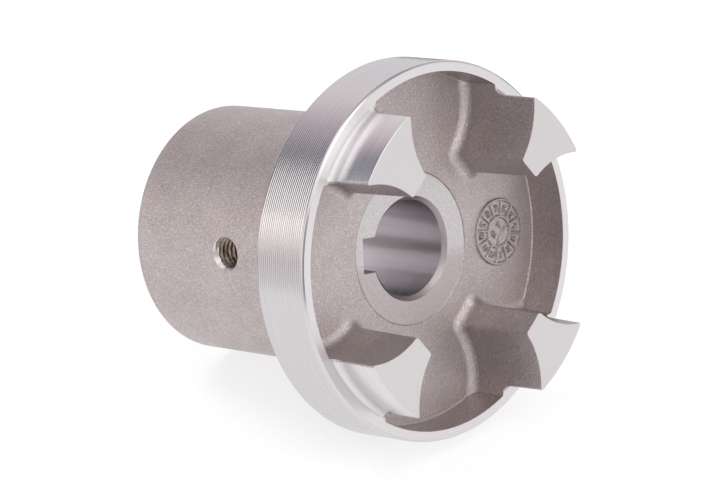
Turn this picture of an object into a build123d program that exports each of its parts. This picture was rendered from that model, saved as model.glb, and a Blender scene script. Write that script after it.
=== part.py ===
from build123d import *
import math
import os

os.makedirs("parts", exist_ok=True)

# Motor-side half of a four-jaw flexible coupling, for driving a pump: one aluminium casting.
# The hub, the web and the insides of the jaws keep their cast skin and draft. The rim, the outer
# faces and tops of the jaws, the bore, the keyway, the spot face and the tapped hole are machined.
#
# Frame, in millimetres: the origin is the centre of the hub's back face, +Z runs along the bore
# towards the jaws, the keyway and the set screw lie towards -Y, and the jaws stand on the diagonals.

# Hub
hub_length = 55.7
hub_diameter = 57.2
hub_draft = 0.25
hub_edge_chamfer = 0.4
hub_root_chamfer = 2.0

# Flange: a thin web inside a deeper rim
flange_diameter = 86.0
rim_width = 14.0
rim_wall = 2.2
web_thickness = 5.0
recess_root_radius = 0.6
recess_root_depth = 0.1
rim_chamfer = 0.35
cast_draft = 1.5

# Jaws, sized on their machined tops: the step is the turned ledge between them and the recess
jaw_count = 4
jaw_height = 11.8
jaw_step_width = 1.8
jaw_length = 14.2
jaw_neck_width = 6.0
jaw_tip_chamfer = 0.8
jaw_outer_corner = 1.0
jaw_root_radius = 2.5

# Round lobes of the flexible element, which hollow the flanks of the jaws. Their centres lie this
# far inside the outer faces of the jaws, and the jaws' necks set their radius.
lobe_centre_depth = 6.9

# Bore, keyway and spot face
bore_diameter = 22.0
bore_chamfer = 0.9
keyway_width = 8.0
keyway_depth = 4.0
spot_face_diameter = 34.8
spot_face_depth = 0.15

# Hole for the set screw, drilled to the tapping size of M8
set_screw_height = 30.4
tapping_diameter = 6.8
countersink_diameter = 8.2
countersink_angle = 90.0

# Places and radii that follow from the sizes above
web_front = hub_length + web_thickness
web_middle = hub_length + web_thickness / 2
rim_front = hub_length + rim_width
jaw_top = rim_front + jaw_height
seat_face = web_front - spot_face_depth
hub_radius = hub_diameter / 2
hub_slope = math.tan(math.radians(hub_draft))
hub_root = hub_radius + hub_length * hub_slope
hub_at_screw = hub_radius + set_screw_height * hub_slope
flange_radius = flange_diameter / 2
recess_mouth = flange_radius - rim_wall
rim_middle = (flange_radius + recess_mouth) / 2
recess_floor = web_front - recess_root_depth
recess_foot = recess_mouth - (rim_front - recess_floor) * math.tan(math.radians(cast_draft))
jaw_outer_radius = recess_mouth - jaw_step_width
jaw_tip_distance = jaw_outer_radius - jaw_length
lobe_distance = jaw_outer_radius - lobe_centre_depth
lobe_radius = lobe_distance * math.sin(math.pi / jaw_count) - jaw_neck_width / 2
bore_radius = bore_diameter / 2
keyway_floor = bore_radius + keyway_depth
jaw_stock_radius = rim_middle + jaw_root_radius
web_stock_radius = jaw_stock_radius + jaw_root_radius + jaw_top - web_front


def corner_at(sketch, radius, height):
    """The corner of a section that lies nearest to this radius and height."""
    return sketch.vertices().sort_by_distance((radius, height))[0]


# The jaws on a disc that lies within the web. Their outline is that of the jaw tops: a disc less the
# round lobes of the flexible element and less the square between the jaw tips. Towards the web they
# widen by the draft, and a large cast radius joins them to it.
with BuildPart() as jaws:
    with BuildSketch(Plane.XY.offset(jaw_top)) as jaw_outline:
        Circle(jaw_stock_radius)
        with PolarLocations(lobe_distance, jaw_count):
            Circle(lobe_radius, mode=Mode.SUBTRACT)
        RegularPolygon(jaw_tip_distance, jaw_count, major_radius=False, mode=Mode.SUBTRACT)
        tips = [v for v in jaw_outline.vertices() if math.hypot(v.X, v.Y) < jaw_outer_radius]
        chamfer(tips, length=jaw_tip_chamfer)
    extrude(amount=web_front - jaw_top, taper=-cast_draft)
    with BuildSketch(Plane.XY.offset(web_middle)):
        Circle(web_stock_radius)
    extrude(amount=web_front - web_middle)
    feet = jaws.edges().filter_by_position(Axis.Z, web_front, web_front)
    fillet(feet.sort_by(SortBy.LENGTH)[:-1], radius=jaw_root_radius)

    # Below the rim's front they end within the rim. Above it their outsides are turned.
    with BuildSketch(Plane.XZ):
        with BuildLine():
            Polyline(
                (rim_middle, web_middle),
                (rim_middle, rim_front),
                (jaw_outer_radius, rim_front),
                (jaw_outer_radius, jaw_top),
                (web_stock_radius, jaw_top),
                (web_stock_radius, web_middle),
                close=True,
            )
        make_face()
    revolve(axis=Axis.Z, mode=Mode.SUBTRACT)

    # The corners between the flanks and the turned faces are rounded.
    shoulders = [
        edge
        for edge in jaws.edges().filter_by_position(Axis.Z, rim_front, jaw_top)
        if math.hypot(edge.center().X, edge.center().Y) > jaw_outer_radius - jaw_outer_corner
        and edge.bounding_box().size.Z > jaw_height / 2
    ]
    fillet(shoulders, radius=jaw_outer_corner)

with BuildPart() as coupling_half:
    # Hub, flange and recessed rim about the bore's axis.
    with BuildSketch(Plane.XZ) as section:
        with BuildLine():
            Polyline(
                (0, 0),
                (hub_radius, 0),
                (hub_root, hub_length),
                (flange_radius, hub_length),
                (flange_radius, rim_front),
                (recess_mouth, rim_front),
                (recess_foot, recess_floor),
                (0, recess_floor),
                close=True,
            )
        make_face()
        chamfer(corner_at(section, hub_radius, 0), length=hub_edge_chamfer)
        chamfer(corner_at(section, hub_root, hub_length), length=hub_root_chamfer)
        fillet(corner_at(section, recess_foot, recess_floor), radius=recess_root_radius)
        chamfer(corner_at(section, flange_radius, rim_front), length=rim_chamfer)
    revolve(axis=Axis.Z)
    add(jaws.part)

    # Spot face round the bore, then the bore with its chamfers.
    with Locations((0, 0, web_front)):
        Hole(spot_face_diameter / 2, depth=spot_face_depth)
    with BuildSketch(Plane.XZ) as bored_out:
        with BuildLine():
            Polyline(
                (0, 0),
                (bore_radius + bore_chamfer, 0),
                (bore_radius, bore_chamfer),
                (bore_radius, seat_face - bore_chamfer),
                (bore_radius + bore_chamfer, seat_face),
                (0, seat_face),
                close=True,
            )
        make_face()
    revolve(axis=Axis.Z, mode=Mode.SUBTRACT)

    # Keyway, broached through the hub.
    with BuildSketch(Plane.XY):
        with Locations((0, -keyway_floor)):
            Rectangle(keyway_width, keyway_floor, align=(Align.CENTER, Align.MIN))
    extrude(amount=seat_face, mode=Mode.SUBTRACT)

    # Hole for the set screw, drilled from the side of the hub down onto the key.
    with Locations(Plane((0, -hub_at_screw, set_screw_height), x_dir=(1, 0, 0), z_dir=(0, -1, 0))):
        CounterSinkHole(
            tapping_diameter / 2,
            countersink_diameter / 2,
            depth=hub_at_screw - bore_radius,
            counter_sink_angle=countersink_angle,
        )

coupling_half.part.label = "coupling_half"
export_step(coupling_half.part, "parts/coupling_half.step")
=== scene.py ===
import math

import bmesh
import bpy
import numpy as np
from mathutils import Matrix, Vector
from mathutils.geometry import delaunay_2d_cdt


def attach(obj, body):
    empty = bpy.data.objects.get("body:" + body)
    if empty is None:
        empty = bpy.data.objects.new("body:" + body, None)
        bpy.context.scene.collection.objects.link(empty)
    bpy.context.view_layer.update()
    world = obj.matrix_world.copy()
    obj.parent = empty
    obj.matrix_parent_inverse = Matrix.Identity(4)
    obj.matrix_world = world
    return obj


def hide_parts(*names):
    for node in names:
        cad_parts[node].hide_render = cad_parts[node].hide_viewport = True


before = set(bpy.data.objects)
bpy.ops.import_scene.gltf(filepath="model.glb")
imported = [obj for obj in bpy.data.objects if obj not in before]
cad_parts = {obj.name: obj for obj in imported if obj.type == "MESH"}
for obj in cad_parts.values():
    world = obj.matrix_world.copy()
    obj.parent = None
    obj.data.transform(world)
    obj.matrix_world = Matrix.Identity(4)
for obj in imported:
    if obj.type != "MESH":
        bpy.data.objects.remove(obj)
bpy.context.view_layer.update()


# Jaws and recess. Four jaws stand on a thin web inside the rim, all one aluminium casting. They have
# draft and a large root radius, and round lobes of the flexible element hollow their flanks. Their
# outsides are turned and their tops faced.

# Sizes are in millimetres, with heights along the bore from the hub's end, until the casting's mesh
# is made. Finishes and all that stands round the casting are in metres.
web = 60.7
rim_front = 70.1
jaw_top = 81.5
draft_angle = math.radians(1.5)
draft = math.tan(draft_angle)
root_radius = 2.5
recess_mouth = 40.56
recess_root = 0.35
web_margin = 0.15
lobe_distance = 32.1
lobe_radius = 19.698
tip_distance = 24.8
tip_round = 0.8
tip_bulge = 0.002
shoulder = 0.4
turned_radius = 39.0
tool_nose = 2.7
nose_top = 72.2
crease = 0.1
crease_top = 0.15
edge_break = 0.06
diagonal = math.radians(45)
lobe_centre = np.array([lobe_distance, 0])

# How many steps each run of the outlines is divided into.
wall_steps = 22
shoulder_steps = 8
flank_steps = 40
tip_steps = 10
outside_steps = 14

# The patches of the casting's skin, each with the name of its finish, and the finishes by name.
surfaces = []
finishes = {}


def wire(tree, kind, sources, **settings):
    """Adds a node of a kind with its settings. Each source is a plain value or a node's output."""
    made = tree.nodes.new("ShaderNode" + kind)
    for key, value in settings.items():
        setattr(made, key, value)
    for socket, source in sources.items():
        if isinstance(source, bpy.types.NodeSocket):
            tree.links.new(source, made.inputs[socket])
        else:
            made.inputs[socket].default_value = source
    return made


def metal_finish(name, roughness):
    """A finish of the aluminium: a metallic shader with its own roughness. Returns its node tree, the
    shader and the Object coordinates."""
    material = bpy.data.materials.new(name)
    material.use_nodes = True
    tree = material.node_tree
    shader = tree.nodes["Principled BSDF"]
    shader.inputs["Metallic"].default_value = 1.0
    shader.inputs["Roughness"].default_value = roughness
    finishes[name] = material
    return tree, shader, wire(tree, "TexCoord", {}).outputs["Object"]


def noise(tree, where, scale, detail=3.0, roughness=0.6):
    """A noise from 0 to 1 over the given coordinates, with so many bumps to the metre."""
    sources = {"Vector": where, "Scale": scale, "Detail": detail, "Roughness": roughness}
    return wire(tree, "TexNoise", sources).outputs[0]


def between(tree, low, high, share):
    """A colour between two others, by a share from 0 to 1. Sockets 6 and 7 take the two colours."""
    return wire(tree, "Mix", {"Factor": share, 6: low, 7: high}, data_type="RGBA").outputs[2]


def tinted(tree, colour, tint):
    """A colour multiplied by another."""
    sources = {"Factor": 1.0, 6: colour, 7: tint}
    return wire(tree, "Mix", sources, data_type="RGBA", blend_type="MULTIPLY").outputs[2]


def spread_over(tree, value, low, high, to_low=0.0, to_high=1.0):
    """A value brought from one range to another, and held at its ends."""
    sources = {"Value": value, "From Min": low, "From Max": high, "To Min": to_low, "To Max": to_high}
    return wire(tree, "MapRange", sources).outputs[0]


def mottled(tree, low, high, grain):
    """A colour between two others that follows the middle of a noise."""
    return between(tree, low, high, spread_over(tree, grain, 0.3, 0.7))


def add_bump(tree, shader, height, depth):
    """Lets a height between 0 and 1 bend the light as relief of a depth in metres."""
    bump = wire(tree, "Bump", {"Strength": 1.0, "Distance": depth, "Height": height})
    tree.links.new(bump.outputs[0], shader.inputs["Normal"])


# The cast skin: a fine blasted grain, warm grey and slightly mottled. Small random facets vary its
# roughness and relief, and are painted lighter as glints.
tree, shader, place = metal_finish("cast", 0.5)
fine = noise(tree, place, 2800.0)
patches = noise(tree, place, 120.0, detail=4.0)
facets = wire(tree, "TexVoronoi", {"Vector": place, "Scale": 4000.0})
facet = wire(tree, "SeparateColor", {"Color": facets.outputs["Color"]})
grain = spread_over(tree, fine, 0.33, 0.67)
skin = between(tree, (0.39, 0.35, 0.352, 1), (0.58, 0.52, 0.522, 1), grain)
skin = tinted(tree, skin, mottled(tree, (0.92, 0.91, 0.90, 1), (1.05, 1.045, 1.04, 1), patches))
# Painted glints: random small facets are mixed towards a light colour, standing in for glinting
# facets.
painted_glint = spread_over(tree, facet.outputs[0], 0.84, 0.94, 0, 0.42)
skin = between(tree, skin, (0.80, 0.735, 0.70, 1), painted_glint)
tree.links.new(skin, shader.inputs["Base Color"])
tree.links.new(spread_over(tree, facet.outputs[1], 0, 1, 0.33, 0.56), shader.inputs["Roughness"])
relief = wire(tree, "Math", {0: fine, 1: facets.outputs["Distance"]}, operation="ADD")
add_bump(tree, shader, relief.outputs[0], 0.00006)


def turned_finish(name, roughness, low, high, pitch, depth):
    """A finish left by a tool that went round the axis. Its fine rings vary with the radius and the
    height and hardly with the turn: noise on the radius plus the height, over the pitch."""
    tree, shader, place = metal_finish(name, roughness)
    parts = wire(tree, "SeparateXYZ", {"Vector": place})
    flat = wire(tree, "CombineXYZ", {"X": parts.outputs[0], "Y": parts.outputs[1]})
    reach = wire(tree, "VectorMath", {0: flat.outputs[0]}, operation="LENGTH")
    unit = wire(tree, "VectorMath", {0: flat.outputs[0]}, operation="NORMALIZE")
    slow = wire(tree, "VectorMath", {0: unit.outputs[0], "Scale": 0.0006}, operation="SCALE")
    level = wire(tree, "Math", {0: reach.outputs["Value"], 1: parts.outputs[2]}, operation="ADD")
    rise = wire(tree, "CombineXYZ", {"Z": level.outputs[0]})
    where = wire(tree, "VectorMath", {0: slow.outputs[0], 1: rise.outputs[0]}, operation="ADD")
    rings = noise(tree, where.outputs[0], 1 / pitch, detail=2.0)
    tree.links.new(mottled(tree, low, high, rings), shader.inputs["Base Color"])
    add_bump(tree, shader, rings, depth)


# The turned sides of the jaws, the foot that the tool's nose leaves, and the faced tops.
turned_finish("jaw_turned", 0.24, (0.65, 0.635, 0.645, 1), (0.74, 0.725, 0.735, 1), 0.0003, 0.00001)
turned_finish("tool_nose", 0.4, (0.66, 0.645, 0.65, 1), (0.72, 0.705, 0.71, 1), 0.00035, 0.000004)
turned_finish("faced", 0.36, (0.615, 0.593, 0.598, 1), (0.63, 0.608, 0.613, 1), 0.0004, 0.000001)


def quads_of(points, closed=False):
    """The quads of a grid of points: rows by columns by 4 corners. With closed, the last column joins
    the first."""
    rows, columns = points.shape[:2]
    index = np.arange(rows * columns).reshape(rows, columns)
    if closed:
        index = np.hstack([index, index[:, :1]])
    return np.stack([index[:-1, :-1], index[:-1, 1:], index[1:, 1:], index[1:, :-1]], -1)


def keep(points, quads, finish):
    """Keeps some quads between points of the casting as a patch of its skin."""
    surfaces.append((points.reshape(-1, 3), quads.reshape(-1, 4).tolist(), finish))


def keep_grid(points, finish, closed=False):
    """Keeps a whole grid of points of the casting, rows by columns by 3, as a patch of its skin."""
    keep(points, quads_of(points, closed), finish)


def keep_flat(loops, lift, finish, inside=None):
    """Keeps a flat face that lies between closed loops in the plane, as triangles. A point belongs to
    the face where a ray from it crosses the loops an odd number of times. lift turns the plane points
    into points of the casting, and inside are loose points that the triangles also use."""
    edges, start = [], 0
    for loop in loops:
        ring = np.arange(start, start + len(loop))
        edges.append(np.column_stack([ring, np.roll(ring, -1)]))
        start += len(loop)
    flat = np.vstack(list(loops) + ([] if inside is None else [inside]))
    corners, _, triangles, *_ = delaunay_2d_cdt(
        [Vector(p) for p in flat], np.vstack(edges).tolist(), [], 0, 1e-7)
    corners = np.array([tuple(c) for c in corners])
    triangles = np.array(triangles)
    middle = corners[triangles].mean(1)
    crossings = np.zeros(len(middle), int)
    for loop in loops:
        a, b = loop, np.roll(loop, -1, 0)
        spans = (a[:, 1] > middle[:, 1:2]) != (b[:, 1] > middle[:, 1:2])
        with np.errstate(divide="ignore", invalid="ignore"):
            reach = a[:, 0] + (middle[:, 1:2] - a[:, 1]) * (b - a)[:, 0] / (b - a)[:, 1]
        crossings += (spans & (reach > middle[:, :1])).sum(1)
    surfaces.append((lift(corners), triangles[crossings % 2 == 1].tolist(), finish))


def arc(centre, radius, start, end, steps):
    """Points on an arc: the centre plus the radius at evenly spaced angles, both ends kept."""
    angle = np.linspace(start, end, steps + 1)
    return np.column_stack([centre[0] + radius * np.cos(angle), centre[1] + radius * np.sin(angle)])


def turned_about(points, angle):
    """Points in the plane, turned about the axis."""
    c, s = math.cos(angle), math.sin(angle)
    return points @ np.array([[c, s], [-s, c]])


def mirrored_on(half):
    """Half an outline up to the jaw's middle line, carried on by its mirror image, which has X and Y
    swapped. Neither end is there twice."""
    return np.vstack([half, half[-2:0:-1, ::-1]])


def four_times(half):
    """Half a quarter of an outline, mirrored and then set round the axis four times."""
    quarter = mirrored_on(half)
    return np.vstack([turned_about(quarter, n * math.pi / 2) for n in range(4)])


def at_height(loop, height):
    """A loop in the plane, raised to a height."""
    return np.column_stack([loop, np.full(len(loop), height)])


def meeting(radius, lobe):
    """The point where a circle about the axis crosses the lobe's circle, above the X axis."""
    x = (radius ** 2 + lobe_distance ** 2 - lobe ** 2) / (2 * lobe_distance)
    return np.array([x, math.sqrt(radius ** 2 - x ** 2)])


def seen_from_lobe(point):
    """The angle at which a point lies as seen from the centre of the lobe on +X."""
    return math.atan2(point[1], point[0] - lobe_distance)


# The round of the tip touches the lobe's arc and the flat of the tip.
tip_angle = diagonal + math.acos(
    (tip_distance + tip_round - lobe_distance * math.cos(diagonal)) / (lobe_radius + tip_round))
tip_centre = lobe_centre + (lobe_radius + tip_round) * np.array(
    [math.cos(tip_angle), math.sin(tip_angle)])


def outer_radius(height):
    """The radius of the jaws' turned sides at a height above the web: plain, and near the rim's front
    a concave arc that the tool's nose leaves."""
    below = min(max(0, nose_top - web - height), nose_top - rim_front)
    return turned_radius + tool_nose - math.sqrt(tool_nose ** 2 - below ** 2)


def side_growth(height, top, root):
    """How far a cast side has run out at a height above the web: by its draft below its top, and near
    the web by a quarter circle of the root radius, tangent to the side and to the web."""
    if height >= root * (1 - math.sin(draft_angle)):
        return (top - height) * draft
    centre = (top - root) * draft + root / math.cos(draft_angle)
    return centre - math.sqrt(root ** 2 - (root - height) ** 2)


def jaw_growth(height):
    """How far the flanks have grown at a height above the web."""
    return side_growth(height, jaw_top - web, root_radius)


def shoulder_centre(grown, reach):
    """The centre of the small round between a flank and the turned side."""
    return meeting(reach - shoulder, lobe_radius - grown + shoulder)


def flank(grown, parting):
    """A jaw's flank from the shoulder to the jaw's middle line: the lobe's arc, the round of the tip
    and the flat of the tip, which bulges by a hair. grown is how far the metal stands out from the
    outline of the jaw tops, and parting is where the shoulder ends, as seen from the lobe."""
    hollow = arc(lobe_centre, lobe_radius - grown, parting, tip_angle, flank_steps)
    nose = arc(tip_centre, tip_round + grown, tip_angle + math.pi, diagonal + math.pi, tip_steps)
    middle = (tip_distance - grown) * np.array([[math.cos(diagonal), math.sin(diagonal)]])
    flat = middle - nose[-1:]
    halfway = nose[-1:] + flat / 2 + tip_bulge * flat[:, ::-1] * [[1, -1]]
    return np.vstack([hollow, nose[1:], halfway, middle])


def pocket_loop(height, spread=0):
    """The closed outline of the recess at a height above the web: wall, flank, tip, and so on round.
    It is drawn in by spread."""
    grown = jaw_growth(height) + spread
    radius = recess_mouth - side_growth(height, rim_front - web, recess_root) - spread
    corner = meeting(radius, lobe_radius - grown)
    parting = seen_from_lobe(shoulder_centre(grown, outer_radius(0)))
    wall = arc((0, 0), radius, 0, math.atan2(corner[1], corner[0]), wall_steps)
    outer = arc(lobe_centre, lobe_radius - grown, seen_from_lobe(corner), parting, shoulder_steps)
    return four_times(np.vstack([wall[:-1], outer, flank(grown, parting)[1:]]))


def jaw_loop(height, inset=0, foot=0, dip=0):
    """The closed outline of the jaw on the first diagonal above the rim, drawn in by inset: tip,
    flank, shoulder, the turned arc, and back along the other flank. The turned arc stands out by foot
    and lies lower by dip, both within two steps of its ends."""
    grown, reach = jaw_growth(height), outer_radius(height)
    centre = shoulder_centre(grown, reach)
    parting, centre_turn = seen_from_lobe(centre), math.atan2(centre[1], centre[0])
    corner = arc(centre, shoulder - inset, parting - math.pi, centre_turn, shoulder_steps)
    share = np.minimum(1, np.arange(outside_steps + 1) / 2)
    outside = arc((0, 0), 1, centre_turn, diagonal, outside_steps)
    outside *= reach - inset + foot * share[:, None]
    half = np.vstack([flank(grown - inset, parting)[::-1], corner[1:], outside[1:]])
    lowered = np.concatenate([np.zeros(len(half) - outside_steps), dip * share[1:]])
    lowered = np.concatenate([lowered, lowered[-2:0:-1]])
    return np.column_stack([mirrored_on(half), web + height - lowered])


# The recess from the web up to the rim's front: its wall and the flanks of the jaws.
root_turns = np.append(np.radians(np.arange(0, 88, 5.5)), math.pi / 2 - draft_angle)
root_heights = root_radius * (1 - np.cos(root_turns))
side_heights = np.linspace(root_heights[-1], rim_front - web, 7)[1:]
pocket_rows = [at_height(pocket_loop(0, web_margin), web)]
pocket_rows += [at_height(pocket_loop(h), web + h) for h in [*root_heights, *side_heights]]
keep_grid(np.array(pocket_rows), "cast", closed=True)

# The jaws above the rim's front, one after the other. The arc of the tool's nose comes first.
stem_foot = rim_front - web
stem_break = jaw_top - web - edge_break
nose_rows = [jaw_loop(stem_foot, foot=crease), jaw_loop(stem_foot, dip=crease)]
nose_rows += [jaw_loop(h) for h in np.linspace(stem_foot + crease_top, nose_top - web, 8)]
side_rows = [jaw_loop(h) for h in np.linspace(nose_top - web, stem_break, 7)[1:]]
side_rows.append(jaw_loop(jaw_top - web, inset=edge_break))
jaw_rows = np.array(nose_rows + side_rows)
nose_spans = len(nose_rows) - 1

# The turned side is where both ends of a step lie on the turned radius.
outermost = np.hypot(jaw_rows[-2, :, 0], jaw_rows[-2, :, 1]) > turned_radius - 0.002
is_turned = outermost & np.roll(outermost, -1)
for n in range(4):
    flat = turned_about(jaw_rows[..., :2], n * math.pi / 2)
    rows = np.concatenate([flat, jaw_rows[..., 2:]], -1)
    quads = quads_of(rows, closed=True)
    keep(rows, quads[:, ~is_turned], "cast")
    keep(rows, quads[:nose_spans, is_turned], "tool_nose")
    keep(rows, quads[nose_spans:, is_turned], "jaw_turned")
    keep_flat([flat[-1]], lambda p: at_height(p, jaw_top), "faced")


# Rim. The edge of the flange is turned all over from the aluminium casting: its outside keeps the
# fine spiral of the tool, its front face is smooth, and a small bevel breaks the edge between them.
flange_back = 55.7
flange_radius = 43.0
back_break = 0.25
bevel_start = 69.3
bevel_round = 0.7
bevel_turns = np.radians([9, 18, 27, 36, 45])
grooves = 22
rows_per_groove = 4
groove_depth = 0.043
around = 240
turned_finish("turned", 0.17, (0.575, 0.555, 0.57, 1), (0.615, 0.595, 0.61, 1), 0.0003, 0.000005)
turned_finish("rim_face", 0.32, (0.67, 0.64, 0.65, 1), (0.70, 0.67, 0.68, 1), 0.0004, 0.000003)
turned_finish("edge", 0.2, (0.62, 0.60, 0.61, 1), (0.66, 0.64, 0.65, 1), 0.0004, 0.000002)


def revolved(profile, count):
    """A profile of radius and height carried round the axis: each row is one circle."""
    angle = np.arange(count) * 2 * math.pi / count
    r, z = profile[:, :1], profile[:, 1:]
    return np.stack([r * np.cos(angle), r * np.sin(angle), z + 0 * angle], -1)


# The spiral is so fine that 22 rings stand for it. Each is a groove with the section of a shallow
# parabola, so the crests between them are sharp.
groove_start = flange_back + back_break
in_grooves = np.linspace(0, grooves, grooves * rows_per_groove + 1)
hollow = groove_depth * (1 - (2 * (in_grooves % 1) - 1) ** 2)
groove_z = groove_start + (bevel_start - groove_start) * in_grooves / grooves
bevel_r = flange_radius - bevel_round * (1 - np.cos(bevel_turns))
bevel_z = bevel_start + bevel_round * np.sin(bevel_turns)
bevel_left = rim_front - bevel_z[-1]
rim_profile = np.vstack([
    [[flange_radius - back_break, flange_back]],
    np.column_stack([flange_radius - hollow, groove_z]),
    np.column_stack([bevel_r, bevel_z]),
    [[bevel_r[-1] - bevel_left * math.tan(bevel_turns[-1]), rim_front]],
])
outside = revolved(rim_profile, around)
last_groove_row = len(in_grooves)
keep_grid(outside[:last_groove_row + 1], "turned", closed=True)
keep_grid(outside[last_groove_row:], "edge", closed=True)

# The front face lies between the bevel and an inner outline that follows the recess's mouth and the
# feet of the jaws.
mouth = pocket_loop(rim_front - web)[:wall_steps + shoulder_steps + 1]
jaw_foot = jaw_rows[0, :, :2]
foot_middle = len(jaw_foot) // 2
foot = jaw_foot[foot_middle - outside_steps - shoulder_steps + 1:foot_middle + 1]
inner_edge = four_times(np.vstack([mouth, foot]))
keep_flat([outside[-1, :, :2], inner_edge], lambda p: at_height(p, rim_front), "rim_face")


# Spot face. A ring of the aluminium web round the bore is spot faced. The cutter only just touches
# the casting, so one half is bright and the other keeps its cast skin inside a fine scribed line.
bore_radius = 11.0
bore_chamfer = 0.9
bore_top = web - 1.05
bore_steps = 160
key_half = 4.0
key_floor = 15.0
spot_radius = 17.35
spot_cut = 0.12
cut_ends = 4.5
cut_fades_over = 5.0
points_clear_of_key = 0.25

# Bright where the cutter touched, cast skin elsewhere, with a ragged line between them.
tree, shader, place = metal_finish("spot", 0.4)
parts = wire(tree, "SeparateXYZ", {"Vector": place})
ragged = noise(tree, place, 500.0, detail=4.0, roughness=0.7)
side = wire(tree, "Math", {0: ragged, 1: 0.006, 2: parts.outputs[0]}, operation="MULTIPLY_ADD")
touched = spread_over(tree, side.outputs[0], 0.0045, 0.0062, 1, 0)
fine = noise(tree, place, 1500.0)
skin = mottled(tree, (0.46, 0.415, 0.42, 1), (0.56, 0.505, 0.51, 1), fine)
bright = mottled(tree, (0.50, 0.475, 0.48, 1), (0.61, 0.585, 0.59, 1), fine)
tree.links.new(between(tree, skin, bright, touched), shader.inputs["Base Color"])
tree.links.new(spread_over(tree, touched, 0, 1, 0.55, 0.36), shader.inputs["Roughness"])
add_bump(tree, shader, fine, 0.00003)


def circle(radius, count):
    """Points at a radius round the axis, evenly spaced from +X."""
    return arc((0, 0), radius, 0, 2 * math.pi, count)[:-1]


def face_height(points):
    """The height of the spot face: the web less the cut, which fades out towards +X in a smooth
    step."""
    t = np.clip((cut_ends - points[:, 0]) / cut_fades_over, 0, 1)
    return web - spot_cut * t * t * (3 - 2 * t)


def bore_row(radius):
    """Points round the bore at a radius, from one side of the keyway round to the other. The radius
    is one number, or one for each point."""
    keyway = np.arcsin(key_half / radius)
    angle = math.pi / 2 + np.linspace(-1, 1, bore_steps + 1) * (math.pi - keyway)
    return np.column_stack([radius * np.cos(angle), radius * np.sin(angle)])


# The bore's upper chamfer opens at 45 degrees up to the spot face. Its radius there depends on the
# height of the face, and that on the place, so it settles in a few rounds.
top_row = bore_row(bore_radius + bore_chamfer)
for _ in range(3):
    top_row = bore_row(bore_radius + face_height(top_row) - bore_top)
key_mouth = np.column_stack([np.linspace(-key_half, key_half, 9), np.full(9, -key_floor)])

# Points inside the face carry its step. None lies in the keyway.
loose = np.vstack([circle(radius, 180) for radius in np.arange(12.6, 17.2, 0.65)])
clear = (np.abs(loose[:, 0]) > key_half + points_clear_of_key) | (loose[:, 1] > 0)
clear |= loose[:, 1] < -key_floor - points_clear_of_key
keep_flat([circle(spot_radius, around), np.vstack([top_row, key_mouth])],
          lambda p: np.column_stack([p, face_height(p)]), "spot", inside=loose[clear])

# The scribed line is a small groove between the spot face and the web.
scribe_depth = 0.14
face_edge, bottom, web_edge = [circle(spot_radius + step, around) for step in (0, 0.12, 0.26)]
scribe = np.array([
    np.column_stack([face_edge, face_height(face_edge)]),
    np.column_stack([bottom, face_height(bottom) - scribe_depth]),
    at_height(web_edge, web),
])
keep_grid(scribe, "cast", closed=True)


# Casting dial. A small round insert in the mould leaves its mark on the cast web: two raised rings,
# a numbered cell for each month, and in the middle a bar with two figures.
dial_centre = np.array([-0.2, 28.5])
dial_radius = 7.45
dial_inner = 3.55
dial_height = 0.62
dial_turn = 0.15
cell_turn = math.pi / 6
numbers_at = 5.5

# The strokes of each figure, one wide and two high, and the step from one figure to the next.
figure_step = 1.6
strokes_of = {
    "0": [[(0, 0), (1, 0), (1, 2), (0, 2), (0, 0)]],
    "1": [[(0.5, 0), (0.5, 2)]],
    "2": [[(0, 2), (1, 2), (1, 1), (0, 1), (0, 0), (1, 0)]],
    "3": [[(0, 2), (1, 2), (1, 0), (0, 0)], [(0.2, 1), (1, 1)]],
    "4": [[(0, 2), (0, 1), (1, 1)], [(1, 2), (1, 0)]],
    "5": [[(1, 2), (0, 2), (0, 1), (1, 1), (1, 0), (0, 0)]],
    "6": [[(1, 2), (0, 2), (0, 0), (1, 0), (1, 1), (0, 1)]],
    "7": [[(0, 2), (1, 2), (0.4, 0)]],
    "8": [[(0, 0), (1, 0), (1, 2), (0, 2), (0, 0)], [(0, 1), (1, 1)]],
    "9": [[(1, 1), (0, 1), (0, 2), (1, 2), (1, 0), (0, 0)]],
}


def stroke_distance(points, a, b):
    """The distance of each point from the straight stroke between a and b."""
    a, b = np.array(a, float), np.array(b, float)
    along = np.clip(((points - a) @ (b - a)) / ((b - a) @ (b - a)), 0, 1)
    return np.linalg.norm(points - a - along[..., None] * (b - a), axis=-1)


def figure_distance(points, text, centre, size, turn):
    """The distance of each point from the strokes of a number, set at a centre with a size and a
    turn."""
    c, s = math.cos(turn), math.sin(turn)
    local = (points - np.array(centre)) @ np.array([[c, -s], [s, c]]) / size
    nearest = np.full(points.shape[:-1], 9.0)
    for n, figure in enumerate(text):
        shift = np.array([(n - (len(text) - 1) / 2) * figure_step - 0.5, -1.0])
        for stroke in strokes_of[figure]:
            for a, b in zip(stroke[:-1], stroke[1:]):
                nearest = np.minimum(nearest, stroke_distance(local, shift + a, shift + b))
    return nearest * size


def ridge(distance, half_width):
    """A ridge with a flat top: one up to 0.4 of its half width, then falling to zero at its edge."""
    return np.clip((1 - distance / half_width) / 0.6, 0, 1)


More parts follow.
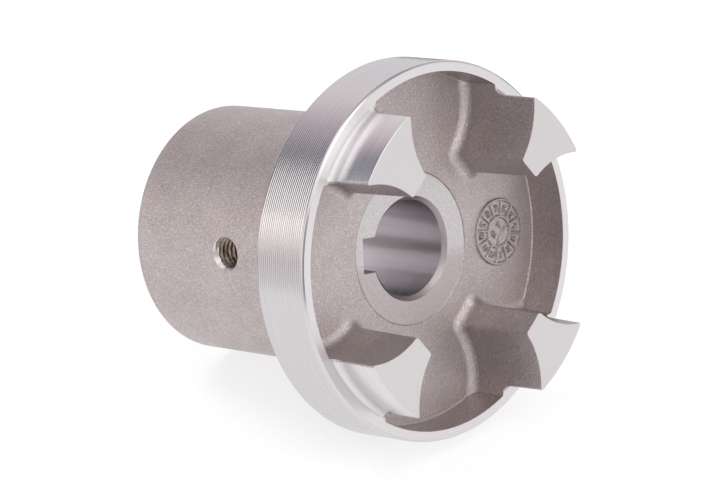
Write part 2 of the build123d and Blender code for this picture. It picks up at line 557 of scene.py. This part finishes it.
# The relief on a grid of rings, which lie closer where the raised rings are.
dial_r = np.concatenate([np.linspace(0, 3.0, 13), np.linspace(3.1, 4.0, 10),
                         np.linspace(4.15, 6.9, 22), np.linspace(7.0, 7.9, 10)])
dial_xy = dial_r[:, None, None] * circle(1, 252)[None]
reach = np.hypot(dial_xy[..., 0], dial_xy[..., 1])
cell = (np.arctan2(dial_xy[..., 1], dial_xy[..., 0]) + dial_turn) / cell_turn
from_spoke = np.abs(cell - np.round(cell)) * cell_turn * reach
in_cells = (reach > dial_inner) & (reach < dial_radius)
ridges = [
    ridge(np.abs(reach - dial_radius), 0.38),
    ridge(np.abs(reach - dial_inner), 0.38),
    np.where(in_cells, ridge(from_spoke, 0.34), 0),
    ridge(stroke_distance(dial_xy, (2.4, -0.3), (-0.7, 2.2)), 0.45) * (reach < dial_inner),
]
for month in range(12):
    turn = (month + 0.5) * cell_turn - dial_turn
    centre = numbers_at * np.array([math.cos(turn), math.sin(turn)])
    size = 0.62 if month < 9 else 0.5
    number = figure_distance(dial_xy, str(month + 1), centre, size, turn - math.pi / 2)
    ridges.append(ridge(number, 0.23))
for figure, centre in (("0", (0.5, -1.35)), ("7", (-1.4, 0.2))):
    distance = figure_distance(dial_xy, figure, centre, 0.62, math.radians(136))
    ridges.append(ridge(distance, 0.27))
relief = np.max(ridges, axis=0)
relief[-1] = 0
dial_z = web + dial_height * relief
dial_points = np.concatenate([dial_xy + dial_centre, dial_z[..., None]], -1)
keep_grid(dial_points, "cast", closed=True)

# The web's flat face lies between the recess, the scribed line and the dial.
keep_flat([pocket_rows[0][:, :2], scribe[-1][:, :2], dial_points[-1, :, :2]],
          lambda p: at_height(p, web), "cast")


# Bore and keyway. The bore is reamed to size through the aluminium hub for the motor's shaft, and the
# keyway is cut beside it with a broach, so both are smooth. Small chamfers open the bore at both
# ends. The keyway's sides and floor are painted much darker than the bore, as shade inside it.
tree, shader, place = metal_finish("bored", 0.29)
drawn = wire(tree, "Mapping", {"Vector": place, "Scale": (1.0, 1.0, 0.03)})
streaks = noise(tree, drawn.outputs[0], 900.0)
streaky = mottled(tree, (0.73, 0.71, 0.73, 1), (0.83, 0.81, 0.83, 1), streaks)
tree.links.new(streaky, shader.inputs["Base Color"])
add_bump(tree, shader, streaks, 0.000003)
turned_finish("chamfer", 0.42, (0.30, 0.27, 0.27, 1), (0.46, 0.42, 0.42, 1), 0.0003, 0.000005)
# Painted shade: the keyway's colours are far darker than the bore's, for the shade inside it.
turned_finish("broached_painted_shade", 0.42, (0.26, 0.23, 0.23, 1), (0.38, 0.34, 0.34, 1), 0.0003, 0.000005)

bore_rows = [at_height(bore_row(bore_radius + bore_chamfer), 0.0)]
bore_rows += [at_height(bore_row(bore_radius), z) for z in np.linspace(bore_chamfer, bore_top, 13)]
bore_rows = np.array(bore_rows + [np.column_stack([top_row, face_height(top_row)])])
keep_grid(bore_rows[:-1], "bored")
keep_grid(bore_rows[-2:], "chamfer")

# The sides of the keyway, and the outline of its floor as X and height. The set-screw hole comes out
# in the floor, so the floor is kept with that hole.
floor_edges = []
for column in (0, -1):
    bore_edge = bore_rows[:, column]
    floor_edge = bore_edge.copy()
    floor_edge[:, 1] = -key_floor
    floor_edge[-1, 2] = face_height(floor_edge[-1:, :2])[0]
    keep_grid(np.array([bore_edge, floor_edge]), "broached_painted_shade")
    floor_edges.append(floor_edge[:, [0, 2]])
right, left = floor_edges
inner_x = key_mouth[1:-1, 0]
floor_outline = np.vstack([
    left,
    np.column_stack([inner_x, face_height(key_mouth[1:-1])]),
    right[::-1],
    np.column_stack([inner_x, 0 * inner_x])[::-1],
])


# Hub. The hub is a plain cast aluminium barrel with a little draft, which carries the motor's shaft.
# Its end is faced, and a generous cast radius carries it into the back of the flange.
hub_radius = 28.6
hub_slope = math.tan(math.radians(0.25))
hub_edge = 0.4
hub_root = 3.0
flange_back_middle = 37.0
turned_finish("hub_end", 0.3, (0.62, 0.60, 0.605, 1), (0.72, 0.70, 0.70, 1), 0.0005, 0.000006)

# A window in the hub's side is left open for the set-screw hole: a half height, and a half width as
# a turn in degrees.
screw_height = 30.4
window_half = 6.0
window_turn = 12
window_rows = 24


def hub_at(height):
    """The radius of the hub at a height above its end face."""
    return hub_radius + height * hub_slope


edge_turn = np.radians(np.linspace(0, 90, 6))
edge_r = hub_at(hub_edge) - hub_edge * (1 - np.sin(edge_turn))
edge_z = hub_edge * (1 - np.cos(edge_turn))
root_turn = np.radians(np.linspace(0, 90, 13))
root_z = flange_back - hub_root + hub_root * np.sin(root_turn)
root_r = hub_at(root_z[0]) + hub_root * (1 - np.cos(root_turn))
window_z = screw_height + np.linspace(-window_half, window_half, window_rows + 1)
below = np.linspace(hub_edge, window_z[0], 7)[1:]
above = np.linspace(window_z[-1], root_z[0], 6)[1:-1]
barrel_z = np.concatenate([below, window_z[1:], above])
hub_grid = revolved(np.vstack([
    np.column_stack([edge_r, edge_z]),
    np.column_stack([hub_at(barrel_z), barrel_z]),
    np.column_stack([root_r, root_z]),
    [[flange_back_middle, flange_back], [flange_radius - back_break, flange_back]],
]), around)
hub_quads = quads_of(hub_grid, closed=True)
row, column = np.ogrid[:hub_quads.shape[0], :around]
window_row = len(edge_r) + len(below) - 1
window_columns = window_turn * around // 360
in_window = (row >= window_row) & (row < window_row + window_rows)
in_window = in_window & (np.abs(column + 0.5 - 0.75 * around) < window_columns)
keep(hub_grid, hub_quads[~in_window], "cast")
keep_flat([hub_grid[0, :, :2], np.vstack([bore_rows[0, :, :2], key_mouth])],
          lambda p: at_height(p, 0.0), "hub_end")


# Set-screw hole. It is drilled through the side of the aluminium hub down onto the key, tapped M8,
# and lightly countersunk, a little off its middle. The thread is painted dark brown as shade deep in
# the hole, and the cone is bright.
tapping_radius = 3.4
countersink_radius = 4.1
countersink_off = 0.45
countersink_towards = math.radians(45)
thread_pitch = 1.25
thread_depth = 0.6
thread_fades_over = 1.2
tree, shader, place = metal_finish("thread", 0.3)
# Painted shade: the thread's dark brown colours stand for the shade inside the hole.
thread_shade = mottled(tree, (0.15, 0.11, 0.09, 1), (0.38, 0.31, 0.26, 1),
               noise(tree, place, 700.0, roughness=0.5))
tree.links.new(thread_shade, shader.inputs["Base Color"])
turned_finish("countersink", 0.3, (0.72, 0.68, 0.66, 1), (0.82, 0.78, 0.76, 1), 0.0003, 0.000005)


def on_hub(flat):
    """Points given by X and height, set on the hub's side that faces -Y."""
    depth = np.sqrt(hub_at(flat[..., 1]) ** 2 - flat[..., 0] ** 2)
    return np.stack([flat[..., 0], -depth, flat[..., 1]], -1)


# The window's edge as X and height, from its lower left corner round.
turns = np.radians(np.linspace(-window_turn, window_turn, 2 * window_columns + 1))
low_z, high_z = window_z[0], window_z[-1]
side_x = hub_at(window_z) * math.sin(math.radians(window_turn))
window_loop = np.vstack([
    np.column_stack([hub_at(low_z) * np.sin(turns), np.full(len(turns), low_z)])[:-1],
    np.column_stack([side_x, window_z])[:-1],
    np.column_stack([hub_at(high_z) * np.sin(turns[::-1]), np.full(len(turns), high_z)])[:-1],
    np.column_stack([-side_x[::-1], window_z[::-1]])[:-1],
])
screw_turn = np.arctan2(window_loop[:, 1] - screw_height, window_loop[:, 0])
direction = np.column_stack([np.cos(screw_turn), np.sin(screw_turn)])

# The lip is where the countersink's cone of 90 degrees meets the round side of the hub. Its radius
# and its depth settle together in a few rounds.
screw_centre = np.array([0, screw_height])
mouth = countersink_radius + countersink_off * np.cos(screw_turn + countersink_towards)
lip = mouth
for _ in range(6):
    lip_y = on_hub(screw_centre + lip[:, None] * direction)[:, 1]
    lip = mouth - (hub_at(screw_height) + lip_y)
lip_flat = screw_centre + lip[:, None] * direction
share = np.linspace(0, 1, 9)[:, None, None]
keep_grid(on_hub(window_loop + (lip_flat - window_loop) * share), "cast", closed=True)

# The hole's radius at each depth and turn: the cone, and below it the thread, whose crests lie at the
# tapping size and whose groove goes round once in each pitch. It fades out near the keyway.
lip_y = on_hub(lip_flat)[:, 1]
hole_y = lip_y + (-key_floor - lip_y) * np.linspace(0, 1, 120)[:, None]
cone = mouth - (hub_at(screw_height) + hole_y)
wave = np.abs(2 * ((hole_y / thread_pitch + screw_turn / (2 * math.pi)) % 1) - 1)
fade = np.clip((-key_floor - hole_y) / thread_fades_over, 0, 1)
threaded = tapping_radius + thread_depth * np.clip((wave - 0.2) / 0.65, 0, 1) * fade
hole_r = np.maximum(cone, threaded)
hole_r[0] = lip
hole_r[-1] = tapping_radius
hole = np.stack([hole_r * direction[:, 0], hole_y, screw_height + hole_r * direction[:, 1]], -1)
hole_quads = quads_of(hole, closed=True)
on_cone = cone[:-1] > threaded[:-1]
keep(hole, hole_quads[on_cone], "countersink")
keep(hole, hole_quads[~on_cone], "thread")


def on_key_floor(flat):
    """Points given by X and height, set on the floor of the keyway."""
    return np.column_stack([flat[:, 0], np.full(len(flat), -key_floor), flat[:, 1]])


keep_flat([floor_outline, hole[-1][:, [0, 2]]], on_key_floor, "broached_painted_shade")


# The casting. All the patches above are the skin of one aluminium casting, so they are joined into
# one closed mesh, which stands for the whole coupling half.
points, faces, skins, start = [], [], [], 0
names = list(finishes)
for patch_points, patch_faces, finish in surfaces:
    points.append(patch_points)
    faces += [[start + i for i in face] for face in patch_faces]
    skins += [names.index(finish)] * len(patch_faces)
    start += len(patch_points)
casting_mesh = bpy.data.meshes.new("coupling_half_casting")
casting_mesh.from_pydata((np.vstack(points) * 0.001).tolist(), [], faces)
casting_mesh.polygons.foreach_set("material_index", skins)
for name in names:
    casting_mesh.materials.append(finishes[name])
work = bmesh.new()
work.from_mesh(casting_mesh)
bmesh.ops.remove_doubles(work, verts=work.verts, dist=0.000002)
bmesh.ops.dissolve_degenerate(work, edges=work.edges, dist=0.0000005)
bmesh.ops.delete(work, geom=[e for e in work.edges if not e.link_faces], context="EDGES")
bmesh.ops.delete(work, geom=[v for v in work.verts if not v.link_faces], context="VERTS")
bmesh.ops.recalc_face_normals(work, faces=work.faces)
work.to_mesh(casting_mesh)
work.free()

# Edges are sharp where the skin turns by more than 28 degrees, and along the crests of the grooves.
casting_mesh.shade_smooth()
casting_mesh.set_sharp_from_angle(angle=math.radians(28))
corners = np.zeros(len(casting_mesh.vertices) * 3)
casting_mesh.vertices.foreach_get("co", corners)
corners = corners.reshape(-1, 3) * 1000
ends = np.zeros(len(casting_mesh.edges) * 2, int)
casting_mesh.edges.foreach_get("vertices", ends)
ends = ends.reshape(-1, 2)
outermost = np.hypot(corners[:, 0], corners[:, 1]) > flange_radius - 0.001
level = np.abs(corners[ends[:, 0], 2] - corners[ends[:, 1], 2]) < 0.001
sharp_edges = casting_mesh.attributes["sharp_edge"].data
sharp = np.zeros(len(ends), bool)
sharp_edges.foreach_get("value", sharp)
sharp_edges.foreach_set("value", sharp | outermost[ends].all(1) & level)
casting = bpy.data.objects.new("coupling_half_casting", casting_mesh)
bpy.context.scene.collection.objects.link(casting)
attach(casting, "root")
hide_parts("coupling_half")


# Table. The coupling lies on its side on a table with a white cloth, on the back edge of its rim and
# the edge of its hub. A line between the two, 12.4 degrees round from +X, touches the cloth.
table_half = 4.0
contact_turn = math.radians(12.4)
contact_way = Vector((math.cos(contact_turn), math.sin(contact_turn), 0))
hub_contact = contact_way * hub_radius * 0.001
contact_line = contact_way * (flange_radius - hub_radius) + Vector((0, 0, flange_back))
contact_line.normalize()
up = Vector((-0.945, -0.208, 0.251)).normalized()
up = (up - contact_line * up.dot(contact_line)).normalized()
on_table = Matrix((contact_line, up.cross(contact_line), up)).transposed()

# Level directions on the table: right, and towards the camera.
level_right = Vector((0.03063, 0.70991, 0.70362))
towards = Vector((0.32466, -0.67285, 0.66473))

table_mesh = bpy.data.meshes.new("table")
table_corners = [hub_contact + on_table @ Vector((x * table_half, y * table_half, 0))
                 for x, y in ((-1, -1), (1, -1), (1, 1), (-1, 1))]
table_mesh.from_pydata([tuple(c) for c in table_corners], [], [(0, 1, 2, 3)])
table = bpy.data.objects.new("table", table_mesh)
bpy.context.scene.collection.objects.link(table)


def along(tree, sight, axis):
    """How far a place or a line of sight reaches along an axis."""
    return wire(tree, "VectorMath", {0: sight, 1: axis}, operation="DOT_PRODUCT").outputs["Value"]


def both(tree, first, second):
    """The product of two shares, which is full only where both are."""
    return wire(tree, "Math", {0: first, 1: second}, operation="MULTIPLY").outputs[0]


# The cloth is plain white in the picture and for some way round it. Beyond that it has soft reaches
# of pale grey, and a dark one behind at the right, which the turned metal mirrors.
table_material = bpy.data.materials.new("table")
table_material.use_nodes = True
tree = table_material.node_tree
board = tree.nodes["Principled BSDF"]
place = wire(tree, "TexCoord", {}).outputs["Object"]
sideways = along(tree, place, level_right)
nearer = along(tree, place, towards)
far_left = both(tree, spread_over(tree, sideways, -0.200, -0.188, 1, 0),
                spread_over(tree, nearer, -0.03, 0.06))
beyond_left = spread_over(tree, sideways, -0.27, -0.24, 1, 0)
far_back = spread_over(tree, nearer, -0.25, -0.21, 1, 0)
front_left = both(tree, spread_over(tree, sideways, -0.21, -0.18, 1, 0),
                  spread_over(tree, nearer, 0.09, 0.14))
behind_right = both(tree, spread_over(tree, sideways, 0.07, 0.085),
                    spread_over(tree, nearer, -0.28, -0.24, 1, 0))
cloth = between(tree, (1, 1, 1, 1), (0.62, 0.63, 0.67, 1), far_left)
cloth = between(tree, cloth, (1.0, 0.94, 0.90, 1), beyond_left)
cloth = between(tree, cloth, (0.80, 0.79, 0.80, 1), far_back)
cloth = between(tree, cloth, (0.66, 0.65, 0.66, 1), front_left)
cloth = between(tree, cloth, (0.16, 0.17, 0.21, 1), behind_right)
tree.links.new(tinted(tree, cloth, (0.3, 0.3, 0.3, 1)), board.inputs["Base Color"])
tree.links.new(cloth, board.inputs["Emission Color"])
board.inputs["Emission Strength"].default_value = 0.735
board.inputs["Roughness"].default_value = 1.0
board.inputs["Specular IOR Level"].default_value = 0.0

# From below the table is clear, so that the coupling is seen from there too.
clear = wire(tree, "BsdfTransparent", {})
underside = wire(tree, "NewGeometry", {}).outputs["Backfacing"]
cover = wire(tree, "MixShader", {0: underside, 1: board.outputs[0], 2: clear.outputs[0]})
tree.links.new(cover.outputs[0], tree.nodes["Material Output"].inputs["Surface"])
table_mesh.materials.append(table_material)


# Studio. A pale paper backdrop and large soft lamps stand round the table. The world holds them as
# shades over the elevation and the bearing, and two square soft lights cast the soft shadow.
world = bpy.data.worlds.new("studio")
bpy.context.scene.world = world
world.use_nodes = True
sky = world.node_tree
sight = wire(sky, "TexCoord", {}).outputs["Generated"]
elevation = wire(sky, "Math", {0: along(sky, sight, up)}, operation="ARCSINE").outputs[0]
bearing = wire(sky, "Math", {0: along(sky, sight, level_right), 1: along(sky, sight, towards)},
               operation="ARCTAN2").outputs[0]
from_camera = wire(sky, "Math", {0: bearing}, operation="ABSOLUTE").outputs[0]


def over_degrees(value, low, high, to_low=0.0, to_high=1.0):
    """An angle's range in degrees brought to another range, and held at its ends."""
    return spread_over(sky, value, math.radians(low), math.radians(high), to_low, to_high)


def shades(share, stops):
    """A ramp of colours over a quarter turn: each stop is degrees and a colour."""
    ramp = wire(sky, "ValToRGB", {0: share})
    elements = ramp.color_ramp.elements
    while len(elements) < len(stops):
        elements.new(0.5)
    for element, (degrees, colour) in zip(elements, stops):
        element.position = degrees / 90
        element.color = (*colour, 1)
    return ramp.outputs[0]


# On the left stands a bright lamp low over the table, under a dark gap. The back is a paper that
# runs from dark at the side to pale in the middle, dimmed at its top. The rest is an even white.
left_side = shades(over_degrees(elevation, 0, 90), [
    (0, (0.4, 0.34, 0.3)), (2, (0.4, 0.34, 0.3)), (4, (1.3, 1.23, 1.19)),
    (12, (1.95, 1.88, 1.82)), (19, (1.9, 1.85, 1.8)), (23, (0.27, 0.28, 0.32)),
    (42, (0.22, 0.23, 0.27)), (54, (1.1, 1.06, 1.05)), (75, (1.35, 1.32, 1.3)),
])
behind = shades(over_degrees(from_camera, 90, 180), [
    (34, (0.3, 0.28, 0.31)), (38, (0.28, 0.25, 0.28)), (43, (0.56, 0.49, 0.53)),
    (50, (0.74, 0.65, 0.69)), (56, (0.84, 0.77, 0.8)), (63, (0.92, 0.87, 0.89)),
    (72, (0.96, 0.92, 0.94)), (90, (0.92, 0.89, 0.92)),
])
rest = shades(over_degrees(elevation, 0, 90), [
    (0, (1.14, 1.12, 1.12)), (20, (1.18, 1.17, 1.17)), (45, (1.15, 1.14, 1.14)),
    (75, (1.15, 1.14, 1.14)),
])
behind = between(sky, behind, (0.42, 0.4, 0.41, 1), over_degrees(elevation, 42, 60))
studio = between(sky, rest, behind, over_degrees(from_camera, 100, 125))
is_left = both(sky, over_degrees(bearing, -128, -126), over_degrees(bearing, -62, -50, 1, 0))
studio = between(sky, studio, left_side, is_left)

# A grey upright edge ends the left lamp, and the camera with its stand is dark in front.
left_edge = both(sky, over_degrees(bearing, -80, -72), over_degrees(bearing, -50, -42, 0.65, 0))
studio = between(sky, studio, (0.5, 0.48, 0.49, 1), left_edge)
at_camera = both(sky, over_degrees(from_camera, 6, 9, 1, 0), over_degrees(elevation, 34, 40, 1, 0))
studio = between(sky, studio, (0.2, 0.19, 0.2, 1), at_camera)

# A round lamp hangs in front at the right, 60 degrees up.
lamp_elevation, lamp_bearing = math.radians(60), math.radians(47)
lamp_level = level_right * math.sin(lamp_bearing) + towards * math.cos(lamp_bearing)
lamp_way = up * math.sin(lamp_elevation) + lamp_level * math.cos(lamp_elevation)
in_lamp = spread_over(sky, along(sky, sight, lamp_way),
                      math.cos(math.radians(24)), math.cos(math.radians(12)))
studio = between(sky, studio, (2.3, 2.28, 2.26, 1), in_lamp)
sky.links.new(studio, sky.nodes["Background"].inputs["Color"])


def soft_light(name, right, rise, front, size, power):
    """A square soft light that points at the coupling's middle. It is placed in metres to the right
    of it, above it and in front of it, as the camera looks."""
    middle = Vector((0, 0, 0.045))
    light = bpy.data.lights.new(name, "AREA")
    light.shape = "SQUARE"
    light.size = size
    light.energy = power
    lamp = bpy.data.objects.new(name, light)
    spot = middle + level_right * right + up * rise + towards * front
    aim = (middle - spot).to_track_quat("-Z", "Y")
    lamp.matrix_world = Matrix.Translation(spot) @ aim.to_matrix().to_4x4()
    bpy.context.scene.collection.objects.link(lamp)
    return lamp


key_light = soft_light("key", right=-0.9, rise=1.0, front=-0.6, size=0.6, power=8.0)
key_light.visible_glossy = False
soft_light("fill", right=0.9, rise=0.5, front=0.9, size=0.8, power=1.5)


# Camera. It looks down on the coupling from the front, through a long lens, as in the photograph.
camera_data = bpy.data.cameras.new("camera")
camera_data.lens = 200.0
camera_data.sensor_width = 36.0
camera_data.clip_end = 20.0
camera = bpy.data.objects.new("camera", camera_data)
camera_right = Vector((0.03097, 0.70987, 0.70365))
camera_down = Vector((0.98842, -0.12638, 0.08399))
camera_forward = Vector((0.14855, 0.69290, -0.70556))
facing = Matrix((camera_right, -camera_down, -camera_forward)).transposed()
camera.matrix_world = Matrix.Translation((-0.13623, -0.63317, 0.68917)) @ facing.to_4x4()
bpy.context.scene.collection.objects.link(camera)
bpy.context.scene.camera = camera
bpy.context.scene.view_settings.view_transform = "Standard"
